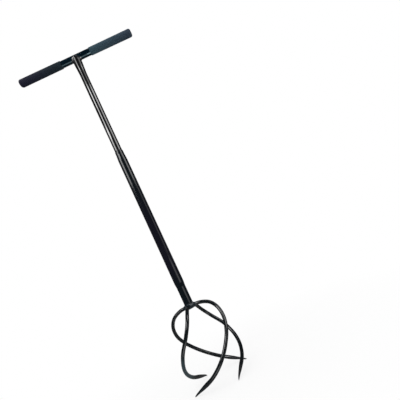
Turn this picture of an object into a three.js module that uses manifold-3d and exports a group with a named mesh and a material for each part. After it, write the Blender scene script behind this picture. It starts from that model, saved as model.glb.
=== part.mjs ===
// Long-handled hand cultivator: a T-handle on a two-tube shaft, with four rods at its foot that arch out of
// the crown and twist down into a cage with forged points.
// Millimetres, +Z up. The shaft is the Z axis, the crossbar runs along X, and the tine points touch z = 0.

import * as THREE from 'three';
import { mergeVertices } from 'three/addons/utils/BufferGeometryUtils.js';
import Module from 'manifold-3d';

const wasm = await Module();
wasm.setup();

// Fits between pieces
const seatGap = 0.3;          // clearance where one piece seats on another
const cutOverrun = 2;         // how far a cutting shape runs past what it cuts

// Height of the crossbar's axis above the level of the tine roots
const crossbarAboveRoots = 762;

// Crossbar
const crossbarDiameter = 20.3;
const crossbarWall = 1.5;
const crossbarLength = 346;

// Grips
const gripDiameter = 23.8;
const gripInnerEndDiameter = 23.2;
const gripLength = 131;
const gripEndWall = 2.7;
const gripEndRadius = 6;
const gripLipRadius = 0.9;

// Stem, with its flared and coped upper end
const stemDiameter = 20;
const stemWall = 1.2;
const flareWidth = 24.4;      // across the shaft, along the crossbar
const flareDepth = 22.8;      // across the shaft and the crossbar
const flareLength = 62;
const lobeRise = 1;           // how far the two lobes of the cope reach above the crossbar's axis
const lapLength = 70;         // hidden stretch of stem inside the main tube

// Main tube, drawn down at both ends to the neck that holds the stem
const mainDiameter = 24.4;
const mainWall = 1.1;
const neckWall = 0.8;
const mouthAboveRoots = 446;
const mouthLand = 6;
const mouthTaper = 22;
const footNeckLength = 48;
const footTaper = 15;
const footAboveRoots = 1.5;   // the tube's lower edge, over the axis of the tine roots

// Tines
const rodDiameter = 9;
const cageRadius = 79.5;
const cageDrop = 179.2;       // from the roots' axis to the points' axis
const cageTwist = 137.5;      // degrees from root to point, clockwise going down
const cageTurn = -12;         // degrees from the crossbar to the first root
const quarterTurn = 90;       // degrees from one root to the next
const pointLength = 60;       // forged stretch at the end of each rod

// Welds
const jointBeadRadius = 2.1;
const jointBeadSink = 1.3;    // how far the bead's centre lies inside its outer face
const mouthBeadHeight = 2.4;
const crownWeldRadius = 13.8;
const crownWeldDepth = 6.3;   // below the roots' axis
const crownWeldHeight = 8.2;  // above the roots' axis, up the tube
const crownBeadWall = 0.5;    // thickness of the bead's upper edge against the tube

// The four tines, with the degrees by which each root is welded off its even place
const tines = [
  ['tine_front_right', 0],
  ['tine_front_left', 2.3],
  ['tine_rear_left', 0],
  ['tine_rear_right', -1.1],
];

// Fineness of round shapes
const tubeSides = 28;
const taperSteps = 4;
const rodSides = 10;
const rodSteps = 46;
const beadSides = 8;
const beadSteps = 44;

// Sizes that follow
const crossbarRadius = crossbarDiameter / 2;
const stemRadius = stemDiameter / 2;
const mainRadius = mainDiameter / 2;
const rodRadius = rodDiameter / 2;
const neckBore = stemRadius + seatGap;
const neckRadius = neckBore + neckWall;
const rootRadius = rodRadius + seatGap;
const gripBore = crossbarRadius + seatGap;
const stemFootAboveRoots = mouthAboveRoots - lapLength;

// Materials
const blackCoat = { color: 0x17191f, roughness: 0.35, metalness: 0.4 };
const gripFoam = { color: 0x343b44, roughness: 0.85, metalness: 0 };
const weldCoat = { color: 0x1b1e24, roughness: 0.45, metalness: 0.4 };

// A mesh ready for cutting: only positions, with shared corners merged
function toSolid(geometry) {
  const bare = geometry.clone();
  bare.deleteAttribute('normal');
  bare.deleteAttribute('uv');
  const merged = mergeVertices(bare);
  return new wasm.Manifold(new wasm.Mesh({
    numProp: 3,
    vertProperties: new Float32Array(merged.attributes.position.array),
    triVerts: new Uint32Array(merged.index.array),
  }));
}

function toGeometry(solid) {
  const mesh = solid.getMesh();
  const geometry = new THREE.BufferGeometry();
  geometry.setAttribute('position', new THREE.BufferAttribute(new Float32Array(mesh.vertProperties), 3));
  geometry.setIndex(new THREE.BufferAttribute(new Uint32Array(mesh.triVerts), 1));
  geometry.computeVertexNormals();
  return geometry;
}

function piece(name, geometry, material) {
  const mesh = new THREE.Mesh(geometry, new THREE.MeshStandardMaterial(material));
  mesh.name = name;
  return mesh;
}

// Turned shape about Z from [radius, height] pairs
function turned(profile, sides) {
  const points = profile.map(([radius, height]) => new THREE.Vector2(radius, height));
  const geometry = new THREE.LatheGeometry(points, sides);
  geometry.rotateX(Math.PI / 2);
  return geometry;
}

// Closed wall from an outer and an inner run of [radius, height] pairs, both given from the top down
function turnedWall(outer, inner, sides) {
  const ring = [...inner, ...[...outer].reverse()];
  return turned([...ring, ring[0]], sides);
}

// Arc of [radius, height] pairs about a centre
function arc(centreRadius, centreHeight, radius, fromDegrees, toDegrees, steps) {
  const points = [];
  for (let step = 0; step <= steps; step += 1) {
    const angle = THREE.MathUtils.degToRad(fromDegrees + ((toDegrees - fromDegrees) * step) / steps);
    points.push([centreRadius + radius * Math.cos(angle), centreHeight + radius * Math.sin(angle)]);
  }
  return points;
}

// Solid bar about X, used to cut seats
function barAlongX(radius, length, sides) {
  const geometry = new THREE.CylinderGeometry(radius, radius, length, sides);
  geometry.rotateZ(Math.PI / 2);
  return geometry;
}

// Crossbar, centred on its own axis

function crossbarGeometry() {
  const half = crossbarLength / 2;
  const bore = crossbarRadius - crossbarWall;
  const outer = [[crossbarRadius, half], [crossbarRadius, -half]];
  const inner = [[bore, half], [bore, -half]];
  const geometry = turnedWall(outer, inner, tubeSides);
  geometry.rotateY(Math.PI / 2);
  return geometry;
}

// Grip: a sleeve with a closed, rounded end, built along Z with its closed end up

const gripEndHeight = crossbarLength / 2 + seatGap + gripEndWall;

function gripGeometry() {
  const mouth = gripEndHeight - gripLength;
  const outerRadius = gripDiameter / 2;
  const innerEndRadius = gripInnerEndDiameter / 2;
  const lipSteps = 3;
  const endSteps = 5;
  const profile = [
    [0, gripEndHeight - gripEndWall],
    [gripBore, gripEndHeight - gripEndWall],
    [gripBore, mouth],
    ...arc(innerEndRadius - gripLipRadius, mouth + gripLipRadius, gripLipRadius, -90, 0, lipSteps),
    ...arc(outerRadius - gripEndRadius, gripEndHeight - gripEndRadius, gripEndRadius, 0, 90, endSteps),
    [0, gripEndHeight],
  ];
  return turned(profile, tubeSides);
}

// Half-width of the stem's outer face at a depth below the crossbar's axis: round low down, and swelling
// to the flare along a smooth step
function flaredHalf(fullSize, depth, offset) {
  const share = THREE.MathUtils.smoothstep(flareLength - depth, 0, flareLength - crossbarRadius);
  return THREE.MathUtils.lerp(stemRadius, fullSize / 2, share) + offset;
}

// Round tube whose upper end is spread into the flare. Offset moves the wall out or in.
function flaredRod(offset, top, bottom) {
  const rings = 14;
  const geometry = new THREE.CylinderGeometry(1, 1, 1, tubeSides, rings);
  geometry.rotateX(Math.PI / 2);
  const position = geometry.attributes.position;
  for (let index = 0; index < position.count; index += 1) {
    const share = 0.5 - position.getZ(index);
    const depth = share * share * (top - bottom) - top;
    const width = flaredHalf(flareWidth, depth, offset);
    const deep = flaredHalf(flareDepth, depth, offset);
    position.setXYZ(index, position.getX(index) * width, position.getY(index) * deep, -depth);
  }
  return geometry;
}

const stemBottom = stemFootAboveRoots - crossbarAboveRoots;

function stemGeometry() {
  const outer = toSolid(flaredRod(0, lobeRise, stemBottom));
  const bore = toSolid(flaredRod(-stemWall, lobeRise + cutOverrun, stemBottom - cutOverrun));
  const seat = toSolid(barAlongX(crossbarRadius + seatGap, flareWidth + cutOverrun, tubeSides));
  return toGeometry(outer.subtract(bore).subtract(seat));
}

// Saddle-shaped bead that follows the coped end round the crossbar

class SaddleCurve extends THREE.Curve {
  getPoint(share, target = new THREE.Vector3()) {
    const angle = share * 2 * Math.PI;
    const ride = crossbarRadius + seatGap + jointBeadRadius - jointBeadSink;
    const side = flareWidth / 2 + jointBeadRadius - jointBeadSink;
    const lobeTop = lobeRise + jointBeadRadius - jointBeadSink;
    const reach = Math.acos(-lobeTop / ride) * Math.sin(angle);
    return target.set(side * Math.cos(angle), ride * Math.sin(reach), -ride * Math.cos(reach));
  }
}

function crossbarWeldGeometry() {
  const bead = toSolid(new THREE.TubeGeometry(new SaddleCurve(), beadSteps, jointBeadRadius, beadSides, true));
  const stem = toSolid(flaredRod(seatGap, lobeRise + seatGap, stemBottom));
  const bar = toSolid(barAlongX(crossbarRadius + seatGap, crossbarLength, tubeSides));
  return toGeometry(bead.subtract(bar).subtract(stem));
}

// Main tube, with heights over the tine roots

// Smooth drawn-down taper between two [outer radius, bore, height] sections
function taper(start, end) {
  const sections = [];
  for (let step = 0; step <= taperSteps; step += 1) {
    const share = step / taperSteps;
    const ease = THREE.MathUtils.smoothstep(share, 0, 1);
    sections.push([
      THREE.MathUtils.lerp(start[0], end[0], ease),
      THREE.MathUtils.lerp(start[1], end[1], ease),
      THREE.MathUtils.lerp(start[2], end[2], share),
    ]);
  }
  return sections;
}

function mainTubeGeometry() {
  const bore = mainRadius - mainWall;
  const mouth = mouthAboveRoots;
  const foot = footAboveRoots;
  const land = mouth - mouthLand;
  const neck = foot + footNeckLength;
  const runs = [
    [neckRadius, neckBore, mouth],
    ...taper([neckRadius, neckBore, land], [mainRadius, bore, land - mouthTaper]),
    ...taper([mainRadius, bore, neck + footTaper], [neckRadius, neckBore, neck]),
    [neckRadius, neckBore, foot],
  ];
  const outer = runs.map(([radius, , height]) => [radius, height]);
  const inner = runs.map(([, radius, height]) => [radius, height]);
  const tube = toSolid(turnedWall(outer, inner, tubeSides));
  return toGeometry(tines.reduce((rest, tine, root) => rest.subtract(toSolid(rootSeat(root))), tube));
}

function mouthWeldGeometry() {
  const inner = neckBore;
  const base = mouthAboveRoots + seatGap;
  const crest = base + mouthBeadHeight;
  const shoulder = (neckWall + seatGap) / 2;
  const profile = [
    [inner, base],
    [neckRadius, base],
    [inner + shoulder, base + mouthBeadHeight / 2],
    [inner + shoulder / 2, crest],
    [inner, crest],
    [inner, base],
  ];
  return turned(profile, tubeSides);
}

// Tine centreline: each row gives shares of the cage's radius, twist and drop, from near the root to the point
const tinePathShares = [
  [0.350, 0.000, 0.007],
  [0.624, -0.008, 0.058],
  [0.803, 0.021, 0.151],
  [0.929, 0.100, 0.293],
  [0.996, 0.212, 0.444],
  [0.986, 0.314, 0.576],
  [0.954, 0.400, 0.674],
  [0.900, 0.498, 0.764],
  [0.832, 0.640, 0.854],
  [0.826, 0.836, 0.928],
  [0.924, 0.956, 0.975],
  [1.000, 1.000, 1.000],
];

// Forged point: share of its length back from the tip, then shares of the rod's diameter for its height and
// its thickness
const pointShares = [
  [0.00, 0.16, 0.10],
  [0.06, 0.37, 0.22],
  [0.16, 0.50, 0.38],
  [0.27, 0.62, 0.50],
  [0.38, 0.76, 0.62],
  [0.55, 0.95, 0.83],
  [0.78, 1.06, 1.00],
  [1.00, 1.00, 1.00],
];

function tinePath() {
  const points = [new THREE.Vector3(rootRadius, 0, 0)];
  for (const [radiusShare, twistShare, dropShare] of tinePathShares) {
    const angle = -THREE.MathUtils.degToRad(cageTwist * twistShare);
    const radius = cageRadius * radiusShare;
    points.push(new THREE.Vector3(radius * Math.cos(angle), radius * Math.sin(angle), -cageDrop * dropShare));
  }
  return new THREE.CatmullRomCurve3(points);
}

// Half sizes of the rod at a distance back from its tip
function rodHalves(fromTip) {
  const share = fromTip / pointLength;
  const next = pointShares.findIndex(([place]) => place >= share);
  if (next < 0) return [rodRadius, rodRadius];
  if (next === 0) return pointShares[0].slice(1).map((size) => size * rodRadius);
  const [startPlace, ...start] = pointShares[next - 1];
  const [endPlace, ...end] = pointShares[next];
  const mix = (share - startPlace) / (endPlace - startPlace);
  return start.map((size, index) => THREE.MathUtils.lerp(size, end[index], mix) * rodRadius);
}

// Rod bent along the centreline. Its height lies in the upright plane through the rod.
function tineGeometry() {
  const path = tinePath();
  const length = path.getLength();
  const up = new THREE.Vector3(0, 0, 1);
  const geometry = new THREE.CylinderGeometry(1, 1, 1, rodSides, rodSteps);
  const position = geometry.attributes.position;
  for (let index = 0; index < position.count; index += 1) {
    const along = position.getY(index) + 0.5;
    const centre = path.getPointAt(along);
    const tangent = path.getTangentAt(along);
    const side = new THREE.Vector3().crossVectors(tangent, up).normalize();
    const rise = new THREE.Vector3().crossVectors(side, tangent);
    const [halfHeight, halfThickness] = rodHalves(length * (1 - along));
    centre.addScaledVector(side, position.getX(index) * halfThickness);
    centre.addScaledVector(rise, position.getZ(index) * halfHeight);
    position.setXYZ(index, centre.x, centre.y, centre.z);
  }
  return toGeometry(toSolid(geometry));
}

const rootAngle = (root) => THREE.MathUtils.degToRad(cageTurn - quarterTurn * root + tines[root][1]);

// Straight root of one tine with its clearance, for cutting the tube and the weld
function rootSeat(root) {
  const length = crownWeldRadius + cutOverrun - rodRadius;
  const geometry = barAlongX(rodRadius + seatGap, length, tubeSides);
  geometry.translate(rodRadius + length / 2, 0, 0);
  geometry.rotateZ(rootAngle(root));
  return geometry;
}

// Nugget under and between the roots, with a hollow fillet that climbs the tube
function crownWeldGeometry() {
  const edge = neckRadius + seatGap + crownBeadWall;
  const curve = new THREE.CubicBezierCurve(
    new THREE.Vector2(crownWeldRadius, footAboveRoots),
    new THREE.Vector2(crownWeldRadius, crownWeldHeight / 2),
    new THREE.Vector2(edge, crownWeldHeight / 2),
    new THREE.Vector2(edge, crownWeldHeight),
  );
  const filletSteps = 5;
  const profile = [
    [0, -crownWeldDepth],
    ...arc(crownWeldRadius - crownWeldDepth, 0, crownWeldDepth, -90, 0, filletSteps),
    ...curve.getPoints(filletSteps).map((point) => [point.x, point.y]),
    [0, crownWeldHeight],
  ];
  const tubeHeight = crownWeldHeight + cutOverrun;
  const tube = new THREE.CylinderGeometry(neckRadius + seatGap, neckRadius + seatGap, tubeHeight, tubeSides);
  tube.rotateX(Math.PI / 2);
  tube.translate(0, 0, footAboveRoots - seatGap + tubeHeight / 2);
  const weld = toSolid(turned(profile, tubeSides)).subtract(toSolid(tube));
  return toGeometry(tines.reduce((rest, tine, root) => rest.subtract(toSolid(rootSeat(root))), weld));
}

// Assembly: the points rest on z = 0, so the roots' level follows from the tine's lowest corner

const bentRod = tineGeometry();
bentRod.computeBoundingBox();
const rootLevel = -bentRod.boundingBox.min.z;

const cultivator = new THREE.Group();
const handle = new THREE.Group();
handle.position.z = rootLevel + crossbarAboveRoots;
const foot = new THREE.Group();
foot.position.z = rootLevel;
cultivator.add(handle, foot);

handle.add(piece('crossbar', crossbarGeometry(), blackCoat));
for (const [name, turn] of [['left_grip', -Math.PI / 2], ['right_grip', Math.PI / 2]]) {
  const grip = piece(name, gripGeometry(), gripFoam);
  grip.rotation.y = turn;
  handle.add(grip);
}
handle.add(piece('stem_tube', stemGeometry(), blackCoat));
handle.add(piece('crossbar_weld', crossbarWeldGeometry(), weldCoat));

foot.add(piece('main_tube', mainTubeGeometry(), blackCoat));
foot.add(piece('mouth_weld', mouthWeldGeometry(), weldCoat));
foot.add(piece('crown_weld', crownWeldGeometry(), weldCoat));
tines.forEach(([name], root) => {
  const rod = piece(name, bentRod.clone(), blackCoat);
  rod.rotation.z = rootAngle(root);
  foot.add(rod);
});

export default cultivator;
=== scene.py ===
import math

import bmesh
import bpy
from mathutils import Matrix, Vector, noise


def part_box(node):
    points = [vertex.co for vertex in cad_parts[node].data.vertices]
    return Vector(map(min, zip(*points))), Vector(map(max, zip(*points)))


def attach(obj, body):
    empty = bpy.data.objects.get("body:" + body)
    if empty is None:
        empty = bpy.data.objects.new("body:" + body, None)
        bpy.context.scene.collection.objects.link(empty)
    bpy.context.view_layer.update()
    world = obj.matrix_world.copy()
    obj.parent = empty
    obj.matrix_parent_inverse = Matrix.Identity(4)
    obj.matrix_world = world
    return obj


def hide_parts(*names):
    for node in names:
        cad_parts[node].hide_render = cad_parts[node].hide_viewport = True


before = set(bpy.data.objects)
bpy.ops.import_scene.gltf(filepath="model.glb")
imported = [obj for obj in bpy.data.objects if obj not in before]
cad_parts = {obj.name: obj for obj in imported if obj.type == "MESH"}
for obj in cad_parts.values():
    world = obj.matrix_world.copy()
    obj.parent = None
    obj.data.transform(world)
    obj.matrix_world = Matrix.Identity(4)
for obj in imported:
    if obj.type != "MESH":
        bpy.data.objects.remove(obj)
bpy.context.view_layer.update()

mm = 0.001
print("frame loaded:", len(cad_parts), "nodes")

# Place, axes and lens of the camera, fitted to the photograph
cameraValues = {
    "place": (0.11553, -0.84466, 0.25630),
    "right": (0.89787588, 0.05357229, -0.43697701),
    "forward": (0.02755198, 0.98378519, 0.17722187),
    "lens": 29.60,
    "sensor": 36.0,
    "clip": (0.01, 60.0),
}


def makeCamera(values):
    data = bpy.data.cameras.new("viewCamera")
    data.lens = values["lens"]
    data.sensor_width = values["sensor"]
    data.clip_start, data.clip_end = values["clip"]
    data.dof.use_dof = False
    camera = bpy.data.objects.new("viewCamera", data)
    bpy.context.scene.collection.objects.link(camera)
    right = Vector(values["right"]).normalized()
    back = -Vector(values["forward"]).normalized()
    up = back.cross(right).normalized()
    right = up.cross(back)
    turn = Matrix((right, up, back)).transposed().to_4x4()
    camera.matrix_world = Matrix.Translation(Vector(values["place"])) @ turn
    bpy.context.scene.camera = camera


makeCamera(cameraValues)
print("camera ready")

# Adds a shader node, with values for its inputs and its own settings
def addNode(tree, kind, inputs=None, **settings):
    node = tree.nodes.new(kind)
    for key, value in settings.items():
        setattr(node, key, value)
    for key, value in (inputs or {}).items():
        node.inputs[key].default_value = value
    return node


def join(tree, source, target):
    tree.links.new(source, target)


# Maps start..end to low..high, held at both ends
def mapRange(tree, source, low, high, start=0.0, end=1.0):
    span = {"From Min": start, "From Max": end, "To Min": low, "To Max": high}
    node = addNode(tree, "ShaderNodeMapRange", span, clamp=True)
    join(tree, source, node.inputs["Value"])
    return node.outputs["Result"]


# Either side may be a number or a socket
def mathNode(tree, operation, first, second):
    node = addNode(tree, "ShaderNodeMath", operation=operation)
    for socket, value in zip(node.inputs, (first, second)):
        if isinstance(value, (int, float)):
            socket.default_value = value
        else:
            join(tree, value, socket)
    return node.outputs[0]


def mixColour(tree, share, first, second):
    node = addNode(tree, "ShaderNodeMix", data_type="RGBA")
    join(tree, share, node.inputs["Factor"])
    for name, value in (("A", first), ("B", second)):
        matches = [entry for entry in node.inputs if entry.name == name and entry.type == "RGBA"]
        socket = matches[0]
        if isinstance(value, tuple):
            socket.default_value = (*value, 1.0)
        else:
            join(tree, value, socket)
    return [entry for entry in node.outputs if entry.type == "RGBA"][0]


def newGroup(name, inputs, outputs):
    group = bpy.data.node_groups.new(name, "ShaderNodeTree")
    kind = "NodeSocketFloat"
    for label, value in inputs.items():
        socket = group.interface.new_socket(name=label, in_out="INPUT", socket_type=kind)
        socket.default_value = value
    for label in outputs:
        group.interface.new_socket(name=label, in_out="OUTPUT", socket_type=kind)
    return group, addNode(group, "NodeGroupInput"), addNode(group, "NodeGroupOutput")


grainValues = {
    "scales": {"Peel Scale": 900.0, "Patch Scale": 14.0, "Speck Scale": 500.0},
    "peel": {"Detail": 3.0, "Roughness": 0.55},
    "patch": {"Detail": 4.0, "Roughness": 0.6, "Distortion": 0.4},
    "patchEdges": (0.32, 0.68),
    "speckEdges": (0.05, 0.16),
    "speckCut": 0.86,  # of the cells, only those above this carry a speck
}


# Fine skin of a sprayed coat, broad cloudy patches and sparse dust specks
def makeCoatGrain(values):
    group, start, end = newGroup("coatGrain", values["scales"], ("Peel", "Patch", "Speck"))
    place = addNode(group, "ShaderNodeTexCoord").outputs["Object"]
    peel = addNode(group, "ShaderNodeTexNoise", values["peel"])
    patch = addNode(group, "ShaderNodeTexNoise", values["patch"])
    speck = addNode(group, "ShaderNodeTexVoronoi", feature="F1")
    for node, label in ((peel, "Peel Scale"), (patch, "Patch Scale"), (speck, "Speck Scale")):
        join(group, place, node.inputs["Vector"])
        join(group, start.outputs[label], node.inputs["Scale"])
    join(group, peel.outputs[0], end.inputs["Peel"])
    clouds = mapRange(group, patch.outputs[0], 0.0, 1.0, *values["patchEdges"])
    join(group, clouds, end.inputs["Patch"])
    spot = mapRange(group, speck.outputs["Distance"], 1.0, 0.0, *values["speckEdges"])
    rare = addNode(group, "ShaderNodeSeparateColor")
    join(group, speck.outputs["Color"], rare.inputs[0])
    picked = mathNode(group, "GREATER_THAN", rare.outputs[0], values["speckCut"])
    join(group, mathNode(group, "MULTIPLY", spot, picked), end.inputs["Speck"])
    return group


coatGrain = makeCoatGrain(grainValues)


def newMaterial(name):
    material = bpy.data.materials.new(name)
    material.use_nodes = True
    tree = material.node_tree
    shader = tree.nodes["Principled BSDF"]
    return material, tree, shader


# The crossbar's axis and, below it, the axis of the tine roots
crossbarAboveRoots = 762.0
barLow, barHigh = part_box("crossbar")
barLevel = (barLow.z + barHigh.z) / 2
rootLevel = barLevel - crossbarAboveRoots * mm

# One entry for each painted piece, then what all of them share
coatValues = {
    "bar": {
        "deep": (0.0001, 0.0058, 0.0118),
        "light": (0.0004, 0.0095, 0.0190),
        "rough": 0.06,
        "ior": 1.40,
        "tint": (0.62, 0.92, 1.0),
        "patchScale": 14.0,
    },
    "stem": {
        "deep": (0.0020, 0.0023, 0.0030),
        "light": (0.0045, 0.0050, 0.0062),
        "rough": 0.045,
        "ior": 1.70,
        "patchScale": 22.0,
    },
    "main": {
        "deep": (0.0036, 0.0036, 0.0088),
        "light": (0.0068, 0.0068, 0.0135),
        "rough": 0.11,
        "ior": 1.44,
        "patchScale": 18.0,
    },
    "tine": {
        "deep": (0.0003, 0.0018, 0.0028),
        "light": (0.0016, 0.0044, 0.0064),
        "rough": 0.10,
        "ior": 1.53,
        "patchScale": 75.0,
    },
    "weld": {
        "deep": (0.0022, 0.0038, 0.0054),
        "light": (0.0070, 0.0110, 0.0150),
        "rough": 0.27,
        "ior": 1.42,
        "patchScale": 60.0,
    },
    # The joint fillet's coat is lighter than the stem's and the crossbar's: a painted highlight on
    # the weld
    "joint": {
        "deep": (0.0060, 0.0085, 0.0120),
        "light": (0.0140, 0.0190, 0.0260),
        "rough": 0.24,
        "ior": 1.55,
        "patchScale": 60.0,
    },
    # The crown weld's coat is lighter than the tines' coat: a painted highlight on the weld
    "crown": {
        "deep": (0.0048, 0.0098, 0.0135),
        "light": (0.0130, 0.0250, 0.0340),
        "rough": 0.30,
        "ior": 1.42,
        "patchScale": 60.0,
    },
    "dust": (0.040, 0.042, 0.045),
    "dustShare": 0.35,
    "roughSpread": (-0.02, 0.04),
    "plainTint": (1.0, 1.0, 1.0),
    "peelDepth": 0.00012,
    "peelStrength": 0.06,
}


# Gloss black sprayed coat, in the tones of one piece
def makeCoat(name, values):
    material, tree, shader = newMaterial(name)
    grain = addNode(tree, "ShaderNodeGroup", node_tree=coatGrain)
    grain.inputs["Patch Scale"].default_value = values["patchScale"]
    colour = mixColour(tree, grain.outputs["Patch"], values["deep"], values["light"])
    dusty = mathNode(tree, "MULTIPLY", grain.outputs["Speck"], coatValues["dustShare"])
    join(tree, mixColour(tree, dusty, colour, coatValues["dust"]), shader.inputs["Base Color"])
    smoother, rougher = (values["rough"] + offset for offset in coatValues["roughSpread"])
    spread = mapRange(tree, grain.outputs["Patch"], smoother, rougher)
    join(tree, spread, shader.inputs["Roughness"])
    bump = addNode(tree, "ShaderNodeBump")
    bump.inputs["Strength"].default_value = coatValues["peelStrength"]
    bump.inputs["Distance"].default_value = coatValues["peelDepth"]
    join(tree, grain.outputs["Peel"], bump.inputs["Height"])
    join(tree, bump.outputs["Normal"], shader.inputs["Normal"])
    shader.inputs["IOR"].default_value = values["ior"]
    tint = values.get("tint", coatValues["plainTint"])
    shader.inputs["Specular Tint"].default_value = (*tint, 1.0)
    return material, tree, shader


barCoat = makeCoat("barCoat", coatValues["bar"])[0]
stemCoat = makeCoat("stemCoat", coatValues["stem"])[0]
mainCoat, mainTree, mainShader = makeCoat("mainCoat", coatValues["main"])
weldCoat = makeCoat("weldCoat", coatValues["weld"])[0]
jointCoat = makeCoat("jointCoat", coatValues["joint"])[0]
crownCoat = makeCoat("crownCoat", coatValues["crown"])[0]

# Teal toward both ends of the long tube, over these heights
tealValues = {
    "colour": (0.0016, 0.0052, 0.0074),
    "low": (0.235, 0.285),
    "high": (0.420, 0.520),
    "share": 0.85,
}


def tintEnds(tree, shader, values):
    place = addNode(tree, "ShaderNodeSeparateXYZ")
    join(tree, addNode(tree, "ShaderNodeTexCoord").outputs["Object"], place.inputs[0])
    low = mapRange(tree, place.outputs["Z"], values["share"], 0.0, *values["low"])
    high = mapRange(tree, place.outputs["Z"], 0.0, values["share"], *values["high"])
    base = shader.inputs["Base Color"]
    plain = base.links[0].from_socket
    ends = mathNode(tree, "ADD", low, high)
    join(tree, mixColour(tree, ends, plain, values["colour"]), base)


tintEnds(mainTree, mainShader, tealValues)

# Deep tones (skins) and light ones (pales) at the stops, from the left grip's end to the right's.
# The stops are darker over the left grip and lighter over the right: painted shade and painted
# light.
foamValues = {
    "patchScale": 38.0,
    "peelScale": 1100.0,
    "cellScale": 1500.0,
    "poreEdges": (0.05, 0.55),
    "ends": (-0.176, 0.176),
    "stops": (0.0, 0.33, 0.66, 1.0),
    "skins": (
        (0.0088, 0.0078, 0.0285),
        (0.0030, 0.0115, 0.0190),
        (0.0200, 0.0590, 0.0820),
        (0.0215, 0.0400, 0.0690),
    ),
    "pales": (
        (0.0180, 0.0165, 0.0400),
        (0.0080, 0.0225, 0.0325),
        (0.0420, 0.0830, 0.1080),
        (0.0430, 0.0620, 0.0920),
    ),
    "paleShare": 0.58,
    "paleEdges": (0.2, 1.0),
    "cloudShare": 0.45,
    "blotch": {"Scale": 210.0, "Detail": 2.0, "Roughness": 0.6},
    "blotchRange": (0.10, 1.85),
    "blotchEdges": (0.36, 0.64),
    "rough": 0.86,
    "roughSpread": 0.06,
    "bump": {"Strength": 0.5, "Distance": 0.0002},
    "shine": {"Sheen Weight": 0.05, "Sheen Roughness": 0.5, "Specular IOR Level": 0.15},
}


# Closed-cell foam: a mottled slate skin with fine pores, violet at the left and teal at the right,
# with painted shade darkening the left grip and painted light brightening the right
def makeFoam(values):
    material, tree, shader = newMaterial("gripFoamSkin")
    grain = addNode(tree, "ShaderNodeGroup", node_tree=coatGrain)
    grain.inputs["Patch Scale"].default_value = values["patchScale"]
    grain.inputs["Peel Scale"].default_value = values["peelScale"]
    place = addNode(tree, "ShaderNodeTexCoord").outputs["Object"]
    cell = addNode(tree, "ShaderNodeTexVoronoi", {"Scale": values["cellScale"]}, feature="F1")
    join(tree, place, cell.inputs["Vector"])
    along = addNode(tree, "ShaderNodeSeparateXYZ")
    join(tree, place, along.inputs[0])
    # Painted shade and light: the ramps along X darken the left grip and lighten the right
    position = mapRange(tree, along.outputs["X"], 0.0, 1.0, *values["ends"])
    sideShadedTints = []
    for colours in values["skins"], values["pales"]:
        tint = addNode(tree, "ShaderNodeValToRGB")
        ramp = tint.color_ramp
        for stop in values["stops"][1:-1]:
            ramp.elements.new(stop)
        for element, stop, colour in zip(ramp.elements, values["stops"], colours):
            element.position = stop
            element.color = (*colour, 1.0)
        join(tree, position, tint.inputs[0])
        sideShadedTints.append(tint.outputs["Color"])
    pore = mapRange(tree, cell.outputs["Distance"], 0.0, 1.0, *values["poreEdges"])
    mottle = mathNode(tree, "MULTIPLY", grain.outputs["Peel"], pore)
    cloud = mathNode(tree, "MULTIPLY", grain.outputs["Patch"], values["cloudShare"])
    mixed = mathNode(tree, "ADD", cloud, mottle)
    evenShare = mapRange(tree, mixed, 0.0, values["paleShare"], *values["paleEdges"])
    blotch = addNode(tree, "ShaderNodeTexNoise", values["blotch"])
    join(tree, place, blotch.inputs["Vector"])
    blotched = mapRange(tree, blotch.outputs[0], *values["blotchRange"], *values["blotchEdges"])
    share = mathNode(tree, "MULTIPLY", evenShare, blotched)
    join(tree, mixColour(tree, share, sideShadedTints[0], sideShadedTints[1]), shader.inputs["Base Color"])
    rough, spread = values["rough"], values["roughSpread"]
    dull = mapRange(tree, grain.outputs["Patch"], rough - spread, rough + spread)
    join(tree, dull, shader.inputs["Roughness"])
    bump = addNode(tree, "ShaderNodeBump", values["bump"])
    join(tree, mottle, bump.inputs["Height"])
    join(tree, bump.outputs["Normal"], shader.inputs["Normal"])
    for label, value in values["shine"].items():
        shader.inputs[label].default_value = value
    return material


gripFoamSkin = makeFoam(foamValues)

# The coat of the tines: scuffs toward the points, and a painted teal highlight on a lower bend at
# the left
tineCoatValues = {
    "scuff": {"Scale": 260.0, "Detail": 5.0, "Roughness": 0.7},
    "scuffEdges": (0.45, 0.62),
    "scuffShare": 0.1,
    "scuffColour": (0.020, 0.021, 0.023),
    "pointRough": 0.16,
    # Painted highlight: a pale teal patch on one tine's lower bend stands in for a reflection
    "paintedGlintPlace": (-0.068, -0.030, 0.056),
    "paintedGlintReach": (0.026, 0.058),
    "paintedGlintColour": (0.018, 0.040, 0.049),
    "paintedGlintShare": 0.85,
}


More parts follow.
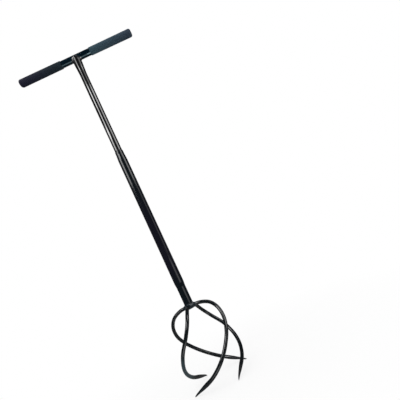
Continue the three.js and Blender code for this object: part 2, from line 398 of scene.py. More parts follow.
def makeTineCoat(values):
    material, tree, shader = makeCoat("tineCoat", coatValues["tine"])
    base, rough = shader.inputs["Base Color"], shader.inputs["Roughness"]
    worn = addNode(tree, "ShaderNodeAttribute", attribute_name="forged").outputs["Fac"]
    place = addNode(tree, "ShaderNodeTexCoord").outputs["Object"]
    scuff = addNode(tree, "ShaderNodeTexNoise", values["scuff"])
    join(tree, place, scuff.inputs["Vector"])
    patches = mapRange(tree, scuff.outputs[0], 0.0, 1.0, *values["scuffEdges"])
    plain = base.links[0].from_socket
    wornPatches = mathNode(tree, "MULTIPLY", patches, worn)
    bare = mathNode(tree, "MULTIPLY", wornPatches, values["scuffShare"])
    join(tree, mixColour(tree, bare, plain, values["scuffColour"]), base)
    # Painted highlight: pale teal mixed in around one point on the left tine's lower bend
    away = addNode(tree, "ShaderNodeVectorMath", operation="DISTANCE")
    away.inputs[1].default_value = values["paintedGlintPlace"]
    join(tree, place, away.inputs[0])
    paintedGlintMask = mapRange(tree, away.outputs["Value"], values["paintedGlintShare"], 0.0, *values["paintedGlintReach"])
    scuffed = base.links[0].from_socket
    join(tree, mixColour(tree, paintedGlintMask, scuffed, values["paintedGlintColour"]), base)
    even = rough.links[0].from_socket
    dull = mathNode(tree, "MULTIPLY", worn, values["pointRough"])
    join(tree, mathNode(tree, "ADD", even, dull), rough)
    return material


tineCoat = makeTineCoat(tineCoatValues)
print("materials ready")


# One tube drawn ring by ring, each ring extruded from the last. place(turn, step) gives a corner's
# point, and mark(step) how far a ring belongs to the forged point.
def drawRings(bm, sides, steps, place, mark=None):
    turnLayer = bm.verts.layers.float.get("turn") or bm.verts.layers.float.new("turn")
    markLayer = None
    if mark:
        markLayer = bm.verts.layers.float.get("forged") or bm.verts.layers.float.new("forged")
    ring = bmesh.ops.create_circle(bm, cap_ends=False, segments=sides, radius=1.0)["verts"]
    for vert in ring:
        vert[turnLayer] = math.atan2(vert.co.y, vert.co.x)
    edges = list({edge for vert in ring for edge in vert.link_edges})
    loops = []
    for step in range(steps + 1):
        if step:
            made = bmesh.ops.extrude_edge_only(bm, edges=edges)["geom"]
            ring = [item for item in made if isinstance(item, bmesh.types.BMVert)]
            members = set(ring)
            edges = [
                item for item in made
                if isinstance(item, bmesh.types.BMEdge) and members.issuperset(item.verts)
            ]
        for vert in ring:
            vert.co = place(vert[turnLayer], step)
            if mark:
                vert[markLayer] = mark(step)
        loops.append(edges)
    return loops[0], loops[-1]


mergeDistance = 0.01 * mm


# Turned shape about an axis from pairs of (radius, distance along the axis)
def turnProfile(profile, sides, closed=True):
    bm = bmesh.new()
    verts = [bm.verts.new((radius, 0.0, height)) for radius, height in profile]
    pairs = list(zip(verts, verts[1:]))
    if closed:
        pairs.append((verts[-1], verts[0]))
    edges = [bm.edges.new(pair) for pair in pairs]
    bmesh.ops.spin(
        bm,
        geom=verts + edges,
        cent=(0, 0, 0),
        axis=(0, 0, 1),
        angle=2 * math.pi,
        steps=sides,
        use_merge=True,
    )
    bmesh.ops.remove_doubles(bm, verts=bm.verts, dist=mergeDistance)
    return bm


# Eases a share of 0 to 1 in and out
def smoothShare(share):
    share = min(max(share, 0.0), 1.0)
    return share * share * (3 - 2 * share)


# Pairs of (radius, height) that ease from one radius to another
def easeProfile(startRadius, startHeight, endRadius, endHeight, steps):
    points = []
    for step in range(steps + 1):
        share = step / steps
        radius = startRadius + (endRadius - startRadius) * smoothShare(share)
        points.append((radius, startHeight + (endHeight - startHeight) * share))
    return points


# Pairs of (radius, height) along an arc
def arcProfile(centreRadius, centreHeight, radius, startDegrees, endDegrees, steps):
    points = []
    for step in range(steps + 1):
        angle = math.radians(startDegrees + (endDegrees - startDegrees) * step / steps)
        height = centreHeight + radius * math.sin(angle)
        points.append((centreRadius + radius * math.cos(angle), height))
    return points


def scaled(points):
    return [(radius * mm, height * mm) for radius, height in points]


def turnPart(bm, verts, matrix):
    bmesh.ops.rotate(bm, verts=verts, cent=(0, 0, 0), matrix=matrix)


def quarterAbout(axis, side=1):
    return Matrix.Rotation(side * math.pi / 2, 3, axis)


# Turns a finished bmesh into a piece that rides on the tool and stands in for its CAD nodes
def finishPiece(name, bm, material, nodes, sharpDegrees=38.0):
    bmesh.ops.recalc_face_normals(bm, faces=bm.faces)
    for face in bm.faces:
        face.smooth = True
    mesh = bpy.data.meshes.new(name)
    bm.to_mesh(mesh)
    bm.free()
    mesh.set_sharp_from_angle(angle=math.radians(sharpDegrees))
    mesh.materials.append(material)
    piece = bpy.data.objects.new(name, mesh)
    bpy.context.scene.collection.objects.link(piece)
    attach(piece, "root")
    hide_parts(*nodes)
    print("made", name, len(mesh.polygons), "faces")
    return piece


# Straight steel tube of the handle
crossbarValues = {
    "diameter": 20.3,
    "wall": 1.5,
    "length": 346.0,
    "edgeRound": 0.4,
    "edgeSteps": 3,
    "sides": 96,
}


def makeCrossbar(values):
    radius = values["diameter"] / 2
    bore = radius - values["wall"]
    half = values["length"] / 2
    rounding = values["edgeRound"]
    steps = values["edgeSteps"]
    profile = [(bore, -half)]
    profile += arcProfile(radius - rounding, -half + rounding, rounding, -90, 0, steps)
    profile += arcProfile(radius - rounding, half - rounding, rounding, 0, 90, steps)
    profile += [(bore, half)]
    bm = turnProfile(scaled(profile), values["sides"])
    turnPart(bm, bm.verts, quarterAbout("Y"))
    bmesh.ops.translate(bm, verts=bm.verts, vec=(0, 0, barLevel))
    return finishPiece("crossbar_tube", bm, barCoat, ["crossbar"])


makeCrossbar(crossbarValues)

# Foam sleeves, closed and rounded at the outer ends
gripValues = {
    "diameter": 23.79,
    "innerEndDiameter": 23.2,
    "length": 131.0,
    "end": 176.0,
    "endWall": 2.7,
    "endRound": 6.0,
    "endSteps": 12,
    "capShares": (0.40, 0.28, 0.15),
    "lipRound": 0.9,
    "lipSteps": 4,
    "bore": 20.9,
    "sides": 112,
    "rowStep": 0.9,
    "poreDepth": 0.07,
    "poreSize": 1.5,
    "poreBias": 0.25,
    "sideShift": 31.0,
    "plainCapShare": 0.3,  # no pores nearer to the cap's middle than this share of the radius
    "boreMargin": 0.2,
    "sharpDegrees": 60.0,
}


def gripProfile(values):
    radius = values["diameter"] / 2
    inner = values["innerEndDiameter"] / 2
    bore = values["bore"] / 2
    lip = values["lipRound"]
    bend = values["endRound"]
    end = values["end"]
    mouth = end - values["length"]
    start = mouth + lip
    stop = end - bend
    rows = int((stop - start) / values["rowStep"])
    profile = [(0, end - values["endWall"]), (bore, end - values["endWall"]), (bore, mouth)]
    profile += arcProfile(inner - lip, start, lip, -90, 0, values["lipSteps"])
    for row in range(1, rows):
        share = row / rows
        profile.append((inner + (radius - inner) * share, start + (stop - start) * share))
    profile += arcProfile(radius - bend, stop, bend, 0, 90, values["endSteps"])
    profile += [(radius * share, end) for share in values["capShares"]]
    return profile + [(0, end)]


def makeGrip(name, side, values):
    bm = turnProfile(scaled(gripProfile(values)), values["sides"], closed=False)
    plainCap = values["plainCapShare"] * (values["diameter"] / 2) * mm
    plainBore = (values["bore"] / 2 + values["boreMargin"]) * mm
    stop = (values["end"] - values["endRound"]) * mm
    shift = Vector((side * values["sideShift"], 0, 0))
    for vert in bm.verts:
        away = math.hypot(vert.co.x, vert.co.y)
        if away < plainCap or away < plainBore and vert.co.z < stop:
            continue
        spot = Vector(vert.co) / (values["poreSize"] * mm) + shift
        dent = max(0.0, noise.noise(spot) + values["poreBias"]) * values["poreDepth"] * mm
        outward = Vector((vert.co.x, vert.co.y, 0)).normalized()
        vert.co -= outward * dent
    turnPart(bm, bm.verts, quarterAbout("Y", side))
    bmesh.ops.translate(bm, verts=bm.verts, vec=(0, 0, barLevel))
    node = name.replace("_sleeve", "")
    return finishPiece(name, bm, gripFoamSkin, [node], values["sharpDegrees"])


makeGrip("left_grip_sleeve", -1, gripValues)
makeGrip("right_grip_sleeve", 1, gripValues)

# Upper tube, flared at its top and coped to the crossbar. Heights count from the crossbar's axis.
stemValues = {
    "diameter": 20.0,
    "wall": 1.2,
    "flareWidth": 24.4,
    "flareDepth": 22.8,
    "flareLength": 62.0,
    "lobeRise": 1.0,
    "seat": 10.45,
    "foot": -386.0,
    "sides": 96,
    "flareRows": 22,
    "copeStart": 20.0,
    "copeRows": 10,
}


# Half the tube's size at a depth below the crossbar's axis
def flaredHalf(fullSize, depth, offset, values):
    start = values["flareLength"]
    share = smoothShare((start - depth) / (start - values["seat"]))
    plain = values["diameter"] / 2
    return plain + (fullSize / 2 - plain) * share + offset


# Height of the coped edge at a corner's distance across the crossbar
def copeHeight(across, values):
    seat = values["seat"]
    if abs(across) >= seat:
        return values["lobeRise"]
    return min(values["lobeRise"], -math.sqrt(seat * seat - across * across))


def makeStem(values):
    bm = bmesh.new()
    foot, flareFoot = values["foot"], -values["flareLength"]
    rows = values["flareRows"]
    flareRise = values["flareLength"] - values["copeStart"]
    levels = [foot, flareFoot] + [flareFoot + flareRise * row / rows for row in range(1, rows + 1)]
    copeRows = values["copeRows"]
    shares = [row / copeRows for row in range(1, copeRows + 1)]

    def wallPlace(offset):
        def place(turn, step):
            across = math.sin(turn)
            along = math.cos(turn)
            if step < len(levels):
                height = levels[step]
            else:
                share = shares[step - len(levels)]
                top = copeHeight(across * (values["flareDepth"] / 2 + offset), values)
                height = levels[-1] + (top - levels[-1]) * share
            width = flaredHalf(values["flareWidth"], -height, offset, values)
            deep = flaredHalf(values["flareDepth"], -height, offset, values)
            return Vector((along * width * mm, across * deep * mm, barLevel + height * mm))
        return place

    steps = len(levels) + len(shares) - 1
    outerStart, outerEnd = drawRings(bm, values["sides"], steps, wallPlace(0.0))
    innerStart, innerEnd = drawRings(bm, values["sides"], steps, wallPlace(-values["wall"]))
    bmesh.ops.bridge_loops(bm, edges=outerStart + innerStart)
    bmesh.ops.bridge_loops(bm, edges=outerEnd + innerEnd)
    return finishPiece("stem_with_flare", bm, stemCoat, ["stem_tube"])


makeStem(stemValues)

# Weld round the coped joint. A pair gives the value under the crossbar and the one at the lobes.
jointValues = {
    "stemLegs": (4.4, 3.4),
    "barLegs": (4.4, 2.2),
    "lifts": (0.25, 1.30),
    "lobeEnd": 8.0,
    "lobePower": 3,
    "evenSpread": 9.0,
    "evenSteps": 4,
    "lean": 1.6,
    "sunk": 0.06,
    "core": 0.9,
    "coreShare": 0.94,
    "faceShare": 0.7,
    "sides": 24,
    "steps": 240,
    "ripples": 34,
    "rippleDepth": 0.07,
    "wanderRate": 16,
    "wanderRow": 2.0,
    "wanderLift": 0.25,
    "wanderLeg": 0.12,
    "sharpDegrees": 80.0,
}


# Point on a curve that leaves start toward corner and arrives at end from it
def bent(start, corner, end, t):
    return start * (1 - t) ** 2 + corner * (2 * t * (1 - t)) + end * t * t


# Fillet along the coped end, with one leg on the stem and the other on the crossbar
def makeJointWeld(values):
    bm = bmesh.new()
    bar = crossbarValues["diameter"] / 2
    halfWidth = stemValues["flareWidth"] / 2
    halfDepth = stemValues["flareDepth"] / 2
    fullTurn = 2 * math.pi

    # Angle round the crossbar that the stem's edge reaches, evened out over a few degrees
    def reachAt(turn):
        spread = math.radians(values["evenSpread"])
        count = values["evenSteps"]
        total = 0
        for offset in range(-count, count + 1):
            across = halfDepth * abs(math.sin(turn + spread * offset / count)) / bar
            past = max(0.0, across - 1) / (halfDepth / bar - 1)
            total += math.asin(min(1.0, across)) + math.radians(values["lobeEnd"]) * past
        return math.copysign(total / (2 * count + 1), math.sin(turn))

    def barPoint(x, reach, radius):
        return Vector((x, radius * math.sin(reach), -radius * math.cos(reach)))

    def place(turn, step):
        share = step / values["steps"]
        around = share * 2 * math.pi
        lobe = abs(math.sin(around)) ** values["lobePower"]
        pairs = values["stemLegs"], values["barLegs"], values["lifts"]
        stemLeg, barLeg, lift = (first + (second - first) * lobe for first, second in pairs)
        ripple = 0.5 + 0.5 * math.cos(around * values["ripples"])
        wander = noise.noise(Vector((share * values["wanderRate"], values["wanderRow"], 0.0)))
        lift += values["rippleDepth"] * ripple + values["wanderLift"] * wander
        barLeg *= 1 + values["wanderLeg"] * wander
        reach = reachAt(around)
        x = halfWidth * math.cos(around)
        y = halfDepth * math.sin(around)
        lean = math.sin(around) * halfWidth / (bar * values["lean"])
        away = Vector((math.cos(around), lean)).normalized()
        low = -bar * math.cos(reach) - stemLeg
        inset = 1 - values["sunk"] / halfWidth
        start = Vector((x * inset, y * inset, low))
        end = barPoint(x + away.x * barLeg, reach + away.y * barLeg / bar, bar - values["sunk"])
        corner = Vector((x, y, -bar * math.cos(reach))) + barPoint(0, reach, 1) * lift
        part = (turn % fullTurn) / fullTurn
        face = values["faceShare"]
        if part <= face:
            point = bent(start, corner, end, part / face)
        else:
            inner = barPoint(x * values["coreShare"], reach, bar - values["core"])
            point = bent(end, inner, start, (part - face) / (1 - face))
        return Vector((point.x * mm, point.y * mm, barLevel + point.z * mm))

    first, last = drawRings(bm, values["sides"], values["steps"] - 1, place)
    bmesh.ops.bridge_loops(bm, edges=first + last)
    sharp = values["sharpDegrees"]
    return finishPiece("joint_fillet", bm, jointCoat, ["crossbar_weld"], sharp)


makeJointWeld(jointValues)

# Wider tube, drawn down at its mouth and its foot. Heights count from the axis of the tine roots.
mainValues = {
    "diameter": 24.4,
    "wall": 1.1,
    "neck": 22.2,
    "neckWall": 0.8,
    "mouth": 446.0,
    "mouthLand": 6.0,
    "mouthTaper": 22.0,
    "footNeck": 48.0,
    "footTaper": 15.0,
    "foot": 1.5,
    "sides": 96,
    "lipRows": 4,
    "mouthRows": 14,
    "bodyRows": 40,
    "footRows": 12,
}


def makeMainTube(values):
    body = values["diameter"] / 2
    neck = values["neck"] / 2
    bore = neck - values["neckWall"]
    foot, mouth = values["foot"], values["mouth"]
    land = mouth - values["mouthLand"]
    upper = mouth - values["mouthLand"] - values["mouthTaper"]
    lower = foot + values["footNeck"] + values["footTaper"]
    drawn = lower - values["footTaper"]
    lip = values["neckWall"] / 2
    rows = values["bodyRows"]
    outer = arcProfile(neck - lip, mouth - lip, lip, 90, 0, values["lipRows"])
    outer += easeProfile(neck, land, body, upper, values["mouthRows"])
    outer += [(body, upper + (lower - upper) * row / rows) for row in range(1, rows)]
    outer += easeProfile(body, lower, neck, drawn, values["footRows"])
    outer += [(neck, foot)]
    inner = [(bore, foot), (bore, drawn)]
    inner += [(body - values["wall"], lower), (body - values["wall"], upper)]
    inner += [(bore, land), (bore, mouth - lip)]
    bm = turnProfile(scaled(outer + inner), values["sides"])
    bmesh.ops.translate(bm, verts=bm.verts, vec=(0, 0, rootLevel))
    return finishPiece("shaft_tube", bm, mainCoat, ["main_tube"])


makeMainTube(mainValues)

# Thin bead of weld at the mouth
mouthWeldValues = {
    "height": 2.4,
    "sunk": 0.2,
    "overlap": 0.1,
    "inset": 0.05,
    "shoulder": 0.35,
    "skirtShare": 0.25,
    "shoulderShare": 0.62,
    "sides": 132,
    "ripples": 33,
    "rippleDepth": 0.12,
    "wanderRate": 3,
    "wanderRow": 4.0,
    "wanderShare": 0.5,
    "wanderDepth": 0.3,
    "sharpDegrees": 80.0,
}


def makeMouthWeld(values):
    height = values["height"]
    shoulder = values["shoulder"]
    base = mainValues["mouth"] - values["sunk"]
    inner = stemValues["diameter"] / 2 - values["overlap"]
    outer = mainValues["neck"] / 2
    crest = base + height
    bend = [
        (inner, base),
        (outer - values["inset"], base),
        (outer, base + values["skirtShare"] * height),
        (outer - shoulder, base + values["shoulderShare"] * height),
        (inner + shoulder, crest),
        (inner, crest + values["overlap"]),
    ]
    bm = turnProfile(scaled(bend), values["sides"])
    rate = values["wanderRate"]
    for vert in bm.verts:
        turn = math.atan2(vert.co.y, vert.co.x)
        away = math.hypot(vert.co.x, vert.co.y) / mm
        if away > inner + values["sunk"]:
            wave = 0.5 + 0.5 * math.cos(turn * values["ripples"])
            spot = Vector((math.cos(turn) * rate, math.sin(turn) * rate, values["wanderRow"]))
            wander = values["wanderShare"] * noise.noise(spot)
            dip = values["rippleDepth"] * wave + values["wanderDepth"] * wander * wander
            vert.co.z -= dip * height * mm
    bmesh.ops.translate(bm, verts=bm.verts, vec=(0, 0, rootLevel))
    sharp = values["sharpDegrees"]
    return finishPiece("mouth_bead", bm, weldCoat, ["mouth_weld"], sharp)


makeMouthWeld(mouthWeldValues)

# Four round rods, each a quarter turn on, twisted down from the crown to a forged point
tineValues = {
    "diameter": 9.0,
    "cageRadius": 79.28,
    "cageDrop": 179.2,
    "cageTwist": 137.5,
    "cageTurn": -12.0,
    "rootTurns": (0.0, 2.3, 0.0, -1.1),
    "pointLength": 60.0,
    "rootStart": 4.8,
    "sides": 28,
    "steps": 190,
    "unevenness": 0.012,
    "waverRate": 0.22,
    "waverSize": 0.7,
    "waverShift": 9.0,
    "wornReach": 1.15,
    "sharpDegrees": 50.0,
}

# Path of one tine as shares of the cage's radius, twist and drop
tinePathShares = [
    (0.350, 0.000, 0.007),
    (0.624, -0.008, 0.058),
    (0.803, 0.021, 0.151),
    (0.929, 0.100, 0.293),
    (0.996, 0.212, 0.444),
    (0.986, 0.314, 0.576),
    (0.954, 0.400, 0.674),
    (0.900, 0.498, 0.764),
    (0.832, 0.640, 0.854),
    (0.826, 0.836, 0.928),
    (0.924, 0.956, 0.975),
    (1.000, 1.000, 1.000),
]

# Forged point: share of its length from the tip, then its half height and half thickness as shares
# of the rod's radius
pointShares = [
    (0.00, 0.16, 0.10),
    (0.06, 0.37, 0.22),
    (0.16, 0.50, 0.38),
    (0.27, 0.62, 0.50),
    (0.38, 0.76, 0.62),
    (0.55, 0.95, 0.83),
    (0.78, 1.06, 1.00),
    (1.00, 1.00, 1.00),
]


# Centripetal spline through the points, as even steps along its length
def evenPath(points, steps, pieces=60):
    padded = [points[0] * 2 - points[1]] + points + [points[-1] * 2 - points[-2]]
    fine = []
    for index in range(1, len(padded) - 2):
        p0, p1, p2, p3 = padded[index - 1:index + 3]
        d0, d1, d2 = ((b - a).length ** 0.5 for a, b in ((p0, p1), (p1, p2), (p2, p3)))
        m1 = ((p1 - p0) / d0 - (p2 - p0) / (d0 + d1) + (p2 - p1) / d1) * d1
        m2 = ((p2 - p1) / d1 - (p3 - p1) / (d1 + d2) + (p3 - p2) / d2) * d1
        for part in range(pieces):
            t = part / pieces
            fine.append(
                p1 * (2 * t ** 3 - 3 * t * t + 1) + m1 * (t ** 3 - 2 * t * t + t)
                + p2 * (3 * t * t - 2 * t ** 3) + m2 * (t ** 3 - t * t)
            )
    fine.append(points[-1].copy())
    lengths = [0.0]
    for first, second in zip(fine, fine[1:]):
        lengths.append(lengths[-1] + (second - first).length)
    total = lengths[-1]
    even = []
    cursor = 0
    for step in range(steps + 1):
        goal = total * step / steps
        while cursor < len(fine) - 2 and lengths[cursor + 1] < goal:
            cursor += 1
        span = lengths[cursor + 1] - lengths[cursor]
        even.append(fine[cursor].lerp(fine[cursor + 1], (goal - lengths[cursor]) / span))
    return even, total


# Half height and half thickness of the rod at a distance from its tip
def pointHalves(fromTip, values):
    radius = values["diameter"] / 2
    share = fromTip / values["pointLength"]
    if share >= 1:
        return radius, radius
    for (startPlace, *start), (endPlace, *end) in zip(pointShares, pointShares[1:]):
        if share <= endPlace:
            mix = (share - startPlace) / (endPlace - startPlace)
            return tuple(radius * (a + (b - a) * mix) for a, b in zip(start, end))
    return radius, radius


def rootTurn(index):
    degrees = tineValues["cageTurn"] - 90 * index + tineValues["rootTurns"][index]
    return Matrix.Rotation(math.radians(degrees), 3, "Z")


def tinePath(values):
    points = [Vector((values["rootStart"], 0, 0))]
    for radiusShare, twistShare, dropShare in tinePathShares:
        angle = -math.radians(values["cageTwist"] * twistShare)
        radius = values["cageRadius"] * radiusShare
        drop = values["cageDrop"] * dropShare
        points.append(Vector((radius * math.cos(angle), radius * math.sin(angle), -drop)))
    return evenPath(points, values["steps"])


def makeTine(name, index, values):
    centres, total = tinePath(values)
    last = len(centres) - 1
    up = Vector((0, 0, 1))
    turnRoot = rootTurn(index)
    frames = []
    for step, centre in enumerate(centres):
        tangent = (centres[min(step + 1, last)] - centres[max(step - 1, 0)]).normalized()
        side = tangent.cross(up).normalized()
        rise = side.cross(tangent)
        halfHeight, halfThickness = pointHalves(total * (1 - step / last), values)
        frames.append((centre, side, rise, halfHeight, halfThickness))

    def place(turn, step):
        centre, side, rise, halfHeight, halfThickness = frames[step]
        across, upward = math.cos(turn), math.sin(turn)
        reach, shift = values["waverSize"], index * values["waverShift"]
        spot = Vector((step * values["waverRate"], across * reach, upward * reach + shift))
        size = 1 - values["unevenness"] * (1 + noise.noise(spot))
        point = centre + side * (across * halfThickness * size)
        point = turnRoot @ (point + rise * (upward * halfHeight * size))
        return Vector((point.x * mm, point.y * mm, rootLevel + point.z * mm))

    def mark(step):
        fromTip = total * (1 - step / last)
        return smoothShare(values["wornReach"] - fromTip / values["pointLength"])

    bm = bmesh.new()
    rootEdges, tipEdges = drawRings(bm, values["sides"], last, place, mark)
    bmesh.ops.contextual_create(bm, geom=rootEdges)
    bmesh.ops.contextual_create(bm, geom=tipEdges)
    sharp = values["sharpDegrees"]
    return finishPiece(name + "_rod", bm, tineCoat, [name], sharp)


tineNames = ["tine_front_right", "tine_front_left", "tine_rear_left", "tine_rear_right"]
for tineIndex, tineName in enumerate(tineNames):
    makeTine(tineName, tineIndex, tineValues)

# Crown weld, where the four roots meet under the tube
crownValues = {
    "radius": 13.7,
    "depth": 6.6,
    "height": 9.6,
    "underRows": 6,
    "upperRows": 10,
    "upperPower": 1.8,
    "upperSunk": 0.35,
    "collarStart": 6.6,
    "collarNeck": 7.1,
    "collarEnd": 21.5,
    "collarTip": 3.7,
    "collarSides": 32,
    "toePlace": (9.2, 4.4),
    "toeRadius": 4.3,
    "toeSides": (24, 14),
    "voxel": 0.50,
    "softening": 96,
    "softShare": 0.5,
    "waviness": 0.12,
    "waveSize": 4.2,
    "sides": 64,
    "sharpDegrees": 180.0,
}


def crownCore(values):
    neck = mainValues["neck"] / 2
    sunk = values["upperSunk"]
    depth = values["depth"]
    profile = [(0, -depth)]
    profile += arcProfile(values["radius"] - depth, 0, depth, -90, 0, values["underRows"])
    rows = values["upperRows"]
    for row in range(1, rows + 1):
        share = row / rows
        flare = (values["radius"] - neck + sunk) * (1 - share) ** values["upperPower"]
        profile.append((neck - sunk + flare, values["height"] * share))
    return turnProfile(scaled(profile + [(0, values["height"])]), values["sides"], closed=False)


# A long collar that sinks into the rod, and a toe of weld over its root
def addRootWeld(bm, root, values):
    length = values["collarEnd"] - values["collarStart"]
    collar = bmesh.ops.create_cone(
        bm,
        cap_ends=True,
        segments=values["collarSides"],
        radius1=values["collarNeck"] * mm,
        radius2=values["collarTip"] * mm,
        depth=length * mm,
    )["verts"]
    bmesh.ops.translate(bm, verts=collar, vec=(0, 0, (values["collarStart"] + length / 2) * mm))
    turnPart(bm, collar, quarterAbout("Y"))
    turnPart(bm, collar, rootTurn(root))
    around, upward = values["toeSides"]
    toe = bmesh.ops.create_uvsphere(
        bm, u_segments=around, v_segments=upward, radius=values["toeRadius"] * mm,
    )["verts"]
    away, rise = values["toePlace"]
    bmesh.ops.translate(bm, verts=toe, vec=(away * mm, 0, rise * mm))
    turnPart(bm, toe, rootTurn(root))


# The parts of the weld remeshed into one skin and softened
def meltTogether(bm, values):
    mesh = bpy.data.meshes.new("crownRough")
    bm.to_mesh(mesh)
    bm.free()
    rough = bpy.data.objects.new("crownRough", mesh)
    bpy.context.scene.collection.objects.link(rough)
    remesh = rough.modifiers.new("Remesh", "REMESH")
    remesh.mode = "VOXEL"
    remesh.voxel_size = values["voxel"] * mm
    soften = rough.modifiers.new("Soften", "SMOOTH")
    soften.factor = values["softShare"]
    soften.iterations = values["softening"]
    graph = bpy.context.evaluated_depsgraph_get()
    shaped = bpy.data.meshes.new_from_object(rough.evaluated_get(graph))
    bpy.data.objects.remove(rough)
    melted = bmesh.new()
    melted.from_mesh(shaped)
    return melted


def makeCrown(values):
    bm = crownCore(values)
    for root in range(len(tineNames)):
        addRootWeld(bm, root, values)
    bmesh.ops.translate(bm, verts=bm.verts, vec=(0, 0, rootLevel))
    bmesh.ops.recalc_face_normals(bm, faces=bm.faces)
    bm = meltTogether(bm, values)
    for vert in bm.verts:
        spot = Vector(vert.co) / (values["waveSize"] * mm)
        vert.co += vert.normal * (values["waviness"] * mm * noise.noise(spot))
    sharp = values["sharpDegrees"]
    return finishPiece("crown_nugget", bm, crownCoat, ["crown_weld"], sharp)


makeCrown(crownValues)

# Floor and backdrop. A pair is the value near the tool and the one far from it, the sky's level low
# down and high up, or the two edges of a soft change.
stageValues = {
    "floorRadius": 0.75,
    "floorSides": 96,
    "floorDrop": 0.0002,
    "floorColour": 0.80,
    "ownLights": (0.76, 1.0),  # a little of the floor's white is its own, all of it far out
    "glossLosses": (0.72, 0.94),  # how much less of the floor shows in gloss
    "fade": (0.22, 0.62),
    "skyLevels": (0.28, 1.00),
    "skyEdges": (-0.35, 0.45),
    "roomLevel": 0.08,
    "wallEdges": (0.90, 1.00),
    "wallFoot": (-0.20, 0.10),
}


# White as seen directly, in gloss and through glass; a plain level for everything else
def seenDirectly(tree):
    path = addNode(tree, "ShaderNodeLightPath")
    seen = mathNode(tree, "MAXIMUM", path.outputs["Is Camera Ray"], path.outputs["Is Glossy Ray"])
    return mathNode(tree, "MAXIMUM", seen, path.outputs["Is Transmission Ray"])


def makeFloorPaint(values):
    material = bpy.data.materials.new("studioFloorPaint")
    material.use_nodes = True
    tree = material.node_tree
    tree.nodes.clear()
    level = values["floorColour"]
    plain = addNode(tree, "ShaderNodeBsdfDiffuse", {"Color": (level, level, level, 1)})
    own = addNode(tree, "ShaderNodeEmission", {"Color": (1, 1, 1, 1)})
    seen = seenDirectly(tree)
    glossy = addNode(tree, "ShaderNodeLightPath").outputs["Is Glossy Ray"]
    reach = addNode(tree, "ShaderNodeVectorMath", operation="LENGTH")
    join(tree, addNode(tree, "ShaderNodeTexCoord").outputs["Object"], reach.inputs[0])
    loss = mapRange(tree, reach.outputs["Value"], *values["glossLosses"], *values["fade"])
    loss = mathNode(tree, "MULTIPLY", loss, glossy)
    join(tree, mathNode(tree, "SUBTRACT", 1.0, loss), own.inputs["Strength"])
    share = mapRange(tree, reach.outputs["Value"], *values["ownLights"], *values["fade"])
    share = mathNode(tree, "MAXIMUM", share, glossy)
    mixed = addNode(tree, "ShaderNodeMixShader")
    join(tree, mathNode(tree, "MULTIPLY", share, seen), mixed.inputs[0])
    join(tree, plain.outputs[0], mixed.inputs[1])
    join(tree, own.outputs[0], mixed.inputs[2])
    output = addNode(tree, "ShaderNodeOutputMaterial")
    join(tree, mixed.outputs[0], output.inputs["Surface"])
    return material


def makeFloor(values):
    bm = bmesh.new()
    sides, radius = values["floorSides"], values["floorRadius"]
    bmesh.ops.create_circle(bm, cap_ends=True, segments=sides, radius=radius)
    bmesh.ops.translate(bm, verts=bm.verts, vec=(0, 0, -values["floorDrop"]))
    mesh = bpy.data.meshes.new("studioFloor")
    bm.to_mesh(mesh)
    bm.free()
    floor = bpy.data.objects.new("studioFloor", mesh)
    bpy.context.scene.collection.objects.link(floor)
    mesh.materials.append(makeFloorPaint(values))


makeFloor(stageValues)


# White where seen; gloss sees a white wall behind the tool and a dim room elsewhere
def makeWorld(values):
    world = bpy.data.worlds.new("studioWorld")
    bpy.context.scene.world = world
    world.use_nodes = True
    tree = world.node_tree
    tree.nodes.clear()
    sky = addNode(tree, "ShaderNodeBackground", {"Color": (1, 1, 1, 1)})
    camera, glossy, through = (
        addNode(tree, "ShaderNodeLightPath").outputs[label]
        for label in ("Is Camera Ray", "Is Glossy Ray", "Is Transmission Ray")
    )
    direction = addNode(tree, "ShaderNodeSeparateXYZ")
    join(tree, addNode(tree, "ShaderNodeTexCoord").outputs["Generated"], direction.inputs[0])
    behind = mapRange(tree, direction.outputs["Y"], 0.0, 1.0, *values["wallEdges"])
    above = mapRange(tree, direction.outputs["Z"], 0.0, 1.0, *values["wallFoot"])
    wall = mapRange(tree, mathNode(tree, "MULTIPLY", behind, above), values["roomLevel"], 1.0)
    polished = mathNode(tree, "MAXIMUM", glossy, through)
    seen = mathNode(tree, "MAXIMUM", camera, mathNode(tree, "MULTIPLY", polished, wall))
    height = mapRange(tree, direction.outputs["Z"], *values["skyLevels"], *values["skyEdges"])
    unseen = mathNode(tree, "SUBTRACT", 1.0, seenDirectly(tree))
    plain = mathNode(tree, "MULTIPLY", unseen, height)
    join(tree, mathNode(tree, "ADD", seen, plain), sky.inputs["Strength"])
    output = addNode(tree, "ShaderNodeOutputWorld")
    join(tree, sky.outputs[0], output.inputs["Surface"])


makeWorld(stageValues)

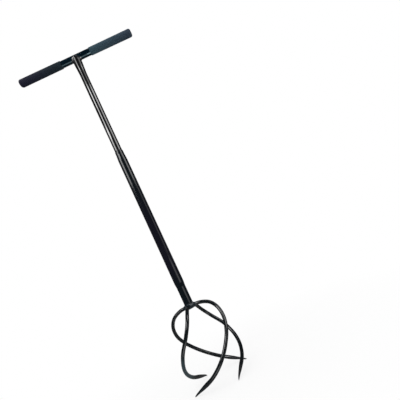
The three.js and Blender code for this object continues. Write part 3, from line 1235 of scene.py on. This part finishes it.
# Softboxes: place, the point each faces, width and height in metres, and radiance. The gloss boxes
# show only in polished surfaces, and the soft ones light everything else.
glossBoxes = {
    "leftHighGloss": ((-0.78, -1.27, 1.62), (0, 0, 0.76), (0.74, 0.42), 7.2),
    "leftTopGloss": ((-0.82, -1.24, 2.10), (0, 0, 0.90), (0.62, 0.76), 3.8),
    "leftLowGloss": ((-1.10, -1.02, 1.24), (0, 0, 0.62), (1.00, 0.46), 6.2),
    "rightGloss": ((1.32, -0.70, 1.41), (0, 0, 0.70), (1.00, 0.77), 4.1),
    "rightTopGloss": ((1.34, -0.66, 1.97), (0, 0, 0.86), (1.00, 0.46), 1.2),
    "rightFillGloss": ((1.37, -0.61, 0.70), (0, 0, 0.40), (0.80, 0.50), 0.8),
    "topRightGloss": ((0.75, -0.75, 2.45), (0, 0, 0.10), (0.90, 0.90), 2.0),
    "lowGloss": ((-0.046, -0.0425, 0.822), (-0.046, -0.026, 0.942), (0.157, 0.078), 2.6),
    "lowRightGloss": ((0.076, -0.0425, 0.822), (0.076, -0.026, 0.942), (0.087, 0.078), 8.5),
    "floorGloss": ((-0.05, -0.18, 0.003), (-0.05, -0.17, 1.0), (0.13, 0.13), 1.8),
    "sideGloss": ((1.06, -1.10, 0.22), (0, 0, 0.20), (1.00, 0.34), 1.6),
}
softBoxes = {
    "overheadSoft": ((-0.4, -0.6, 2.9), (0, 0, 0.3), (1.8, 1.8), 1.2),
    "frontSoft": ((-0.7, -2.4, 1.9), (0, 0, 0.5), (1.6, 1.6), 1.6),
}


def makeLamp(name, values, gloss):
    place, faces, size, level = values
    data = bpy.data.lights.new(name, "AREA")
    data.shape = "RECTANGLE"
    data.size, data.size_y = size
    data.energy = level * math.pi * data.size * data.size_y
    lamp = bpy.data.objects.new(name, data)
    bpy.context.scene.collection.objects.link(lamp)
    aim = (Vector(faces) - Vector(place)).normalized()
    turn = aim.to_track_quat("-Z", "Y").to_matrix().to_4x4()
    lamp.matrix_world = Matrix.Translation(place) @ turn
    lamp.visible_camera = False
    lamp.visible_diffuse = not gloss
    lamp.visible_glossy = gloss


for boxes, showsInGloss in ((glossBoxes, True), (softBoxes, False)):
    for lampName, lampValues in boxes.items():
        makeLamp(lampName, lampValues, showsInGloss)

bpy.context.scene.view_settings.view_transform = "Standard"
print("stage and light ready")
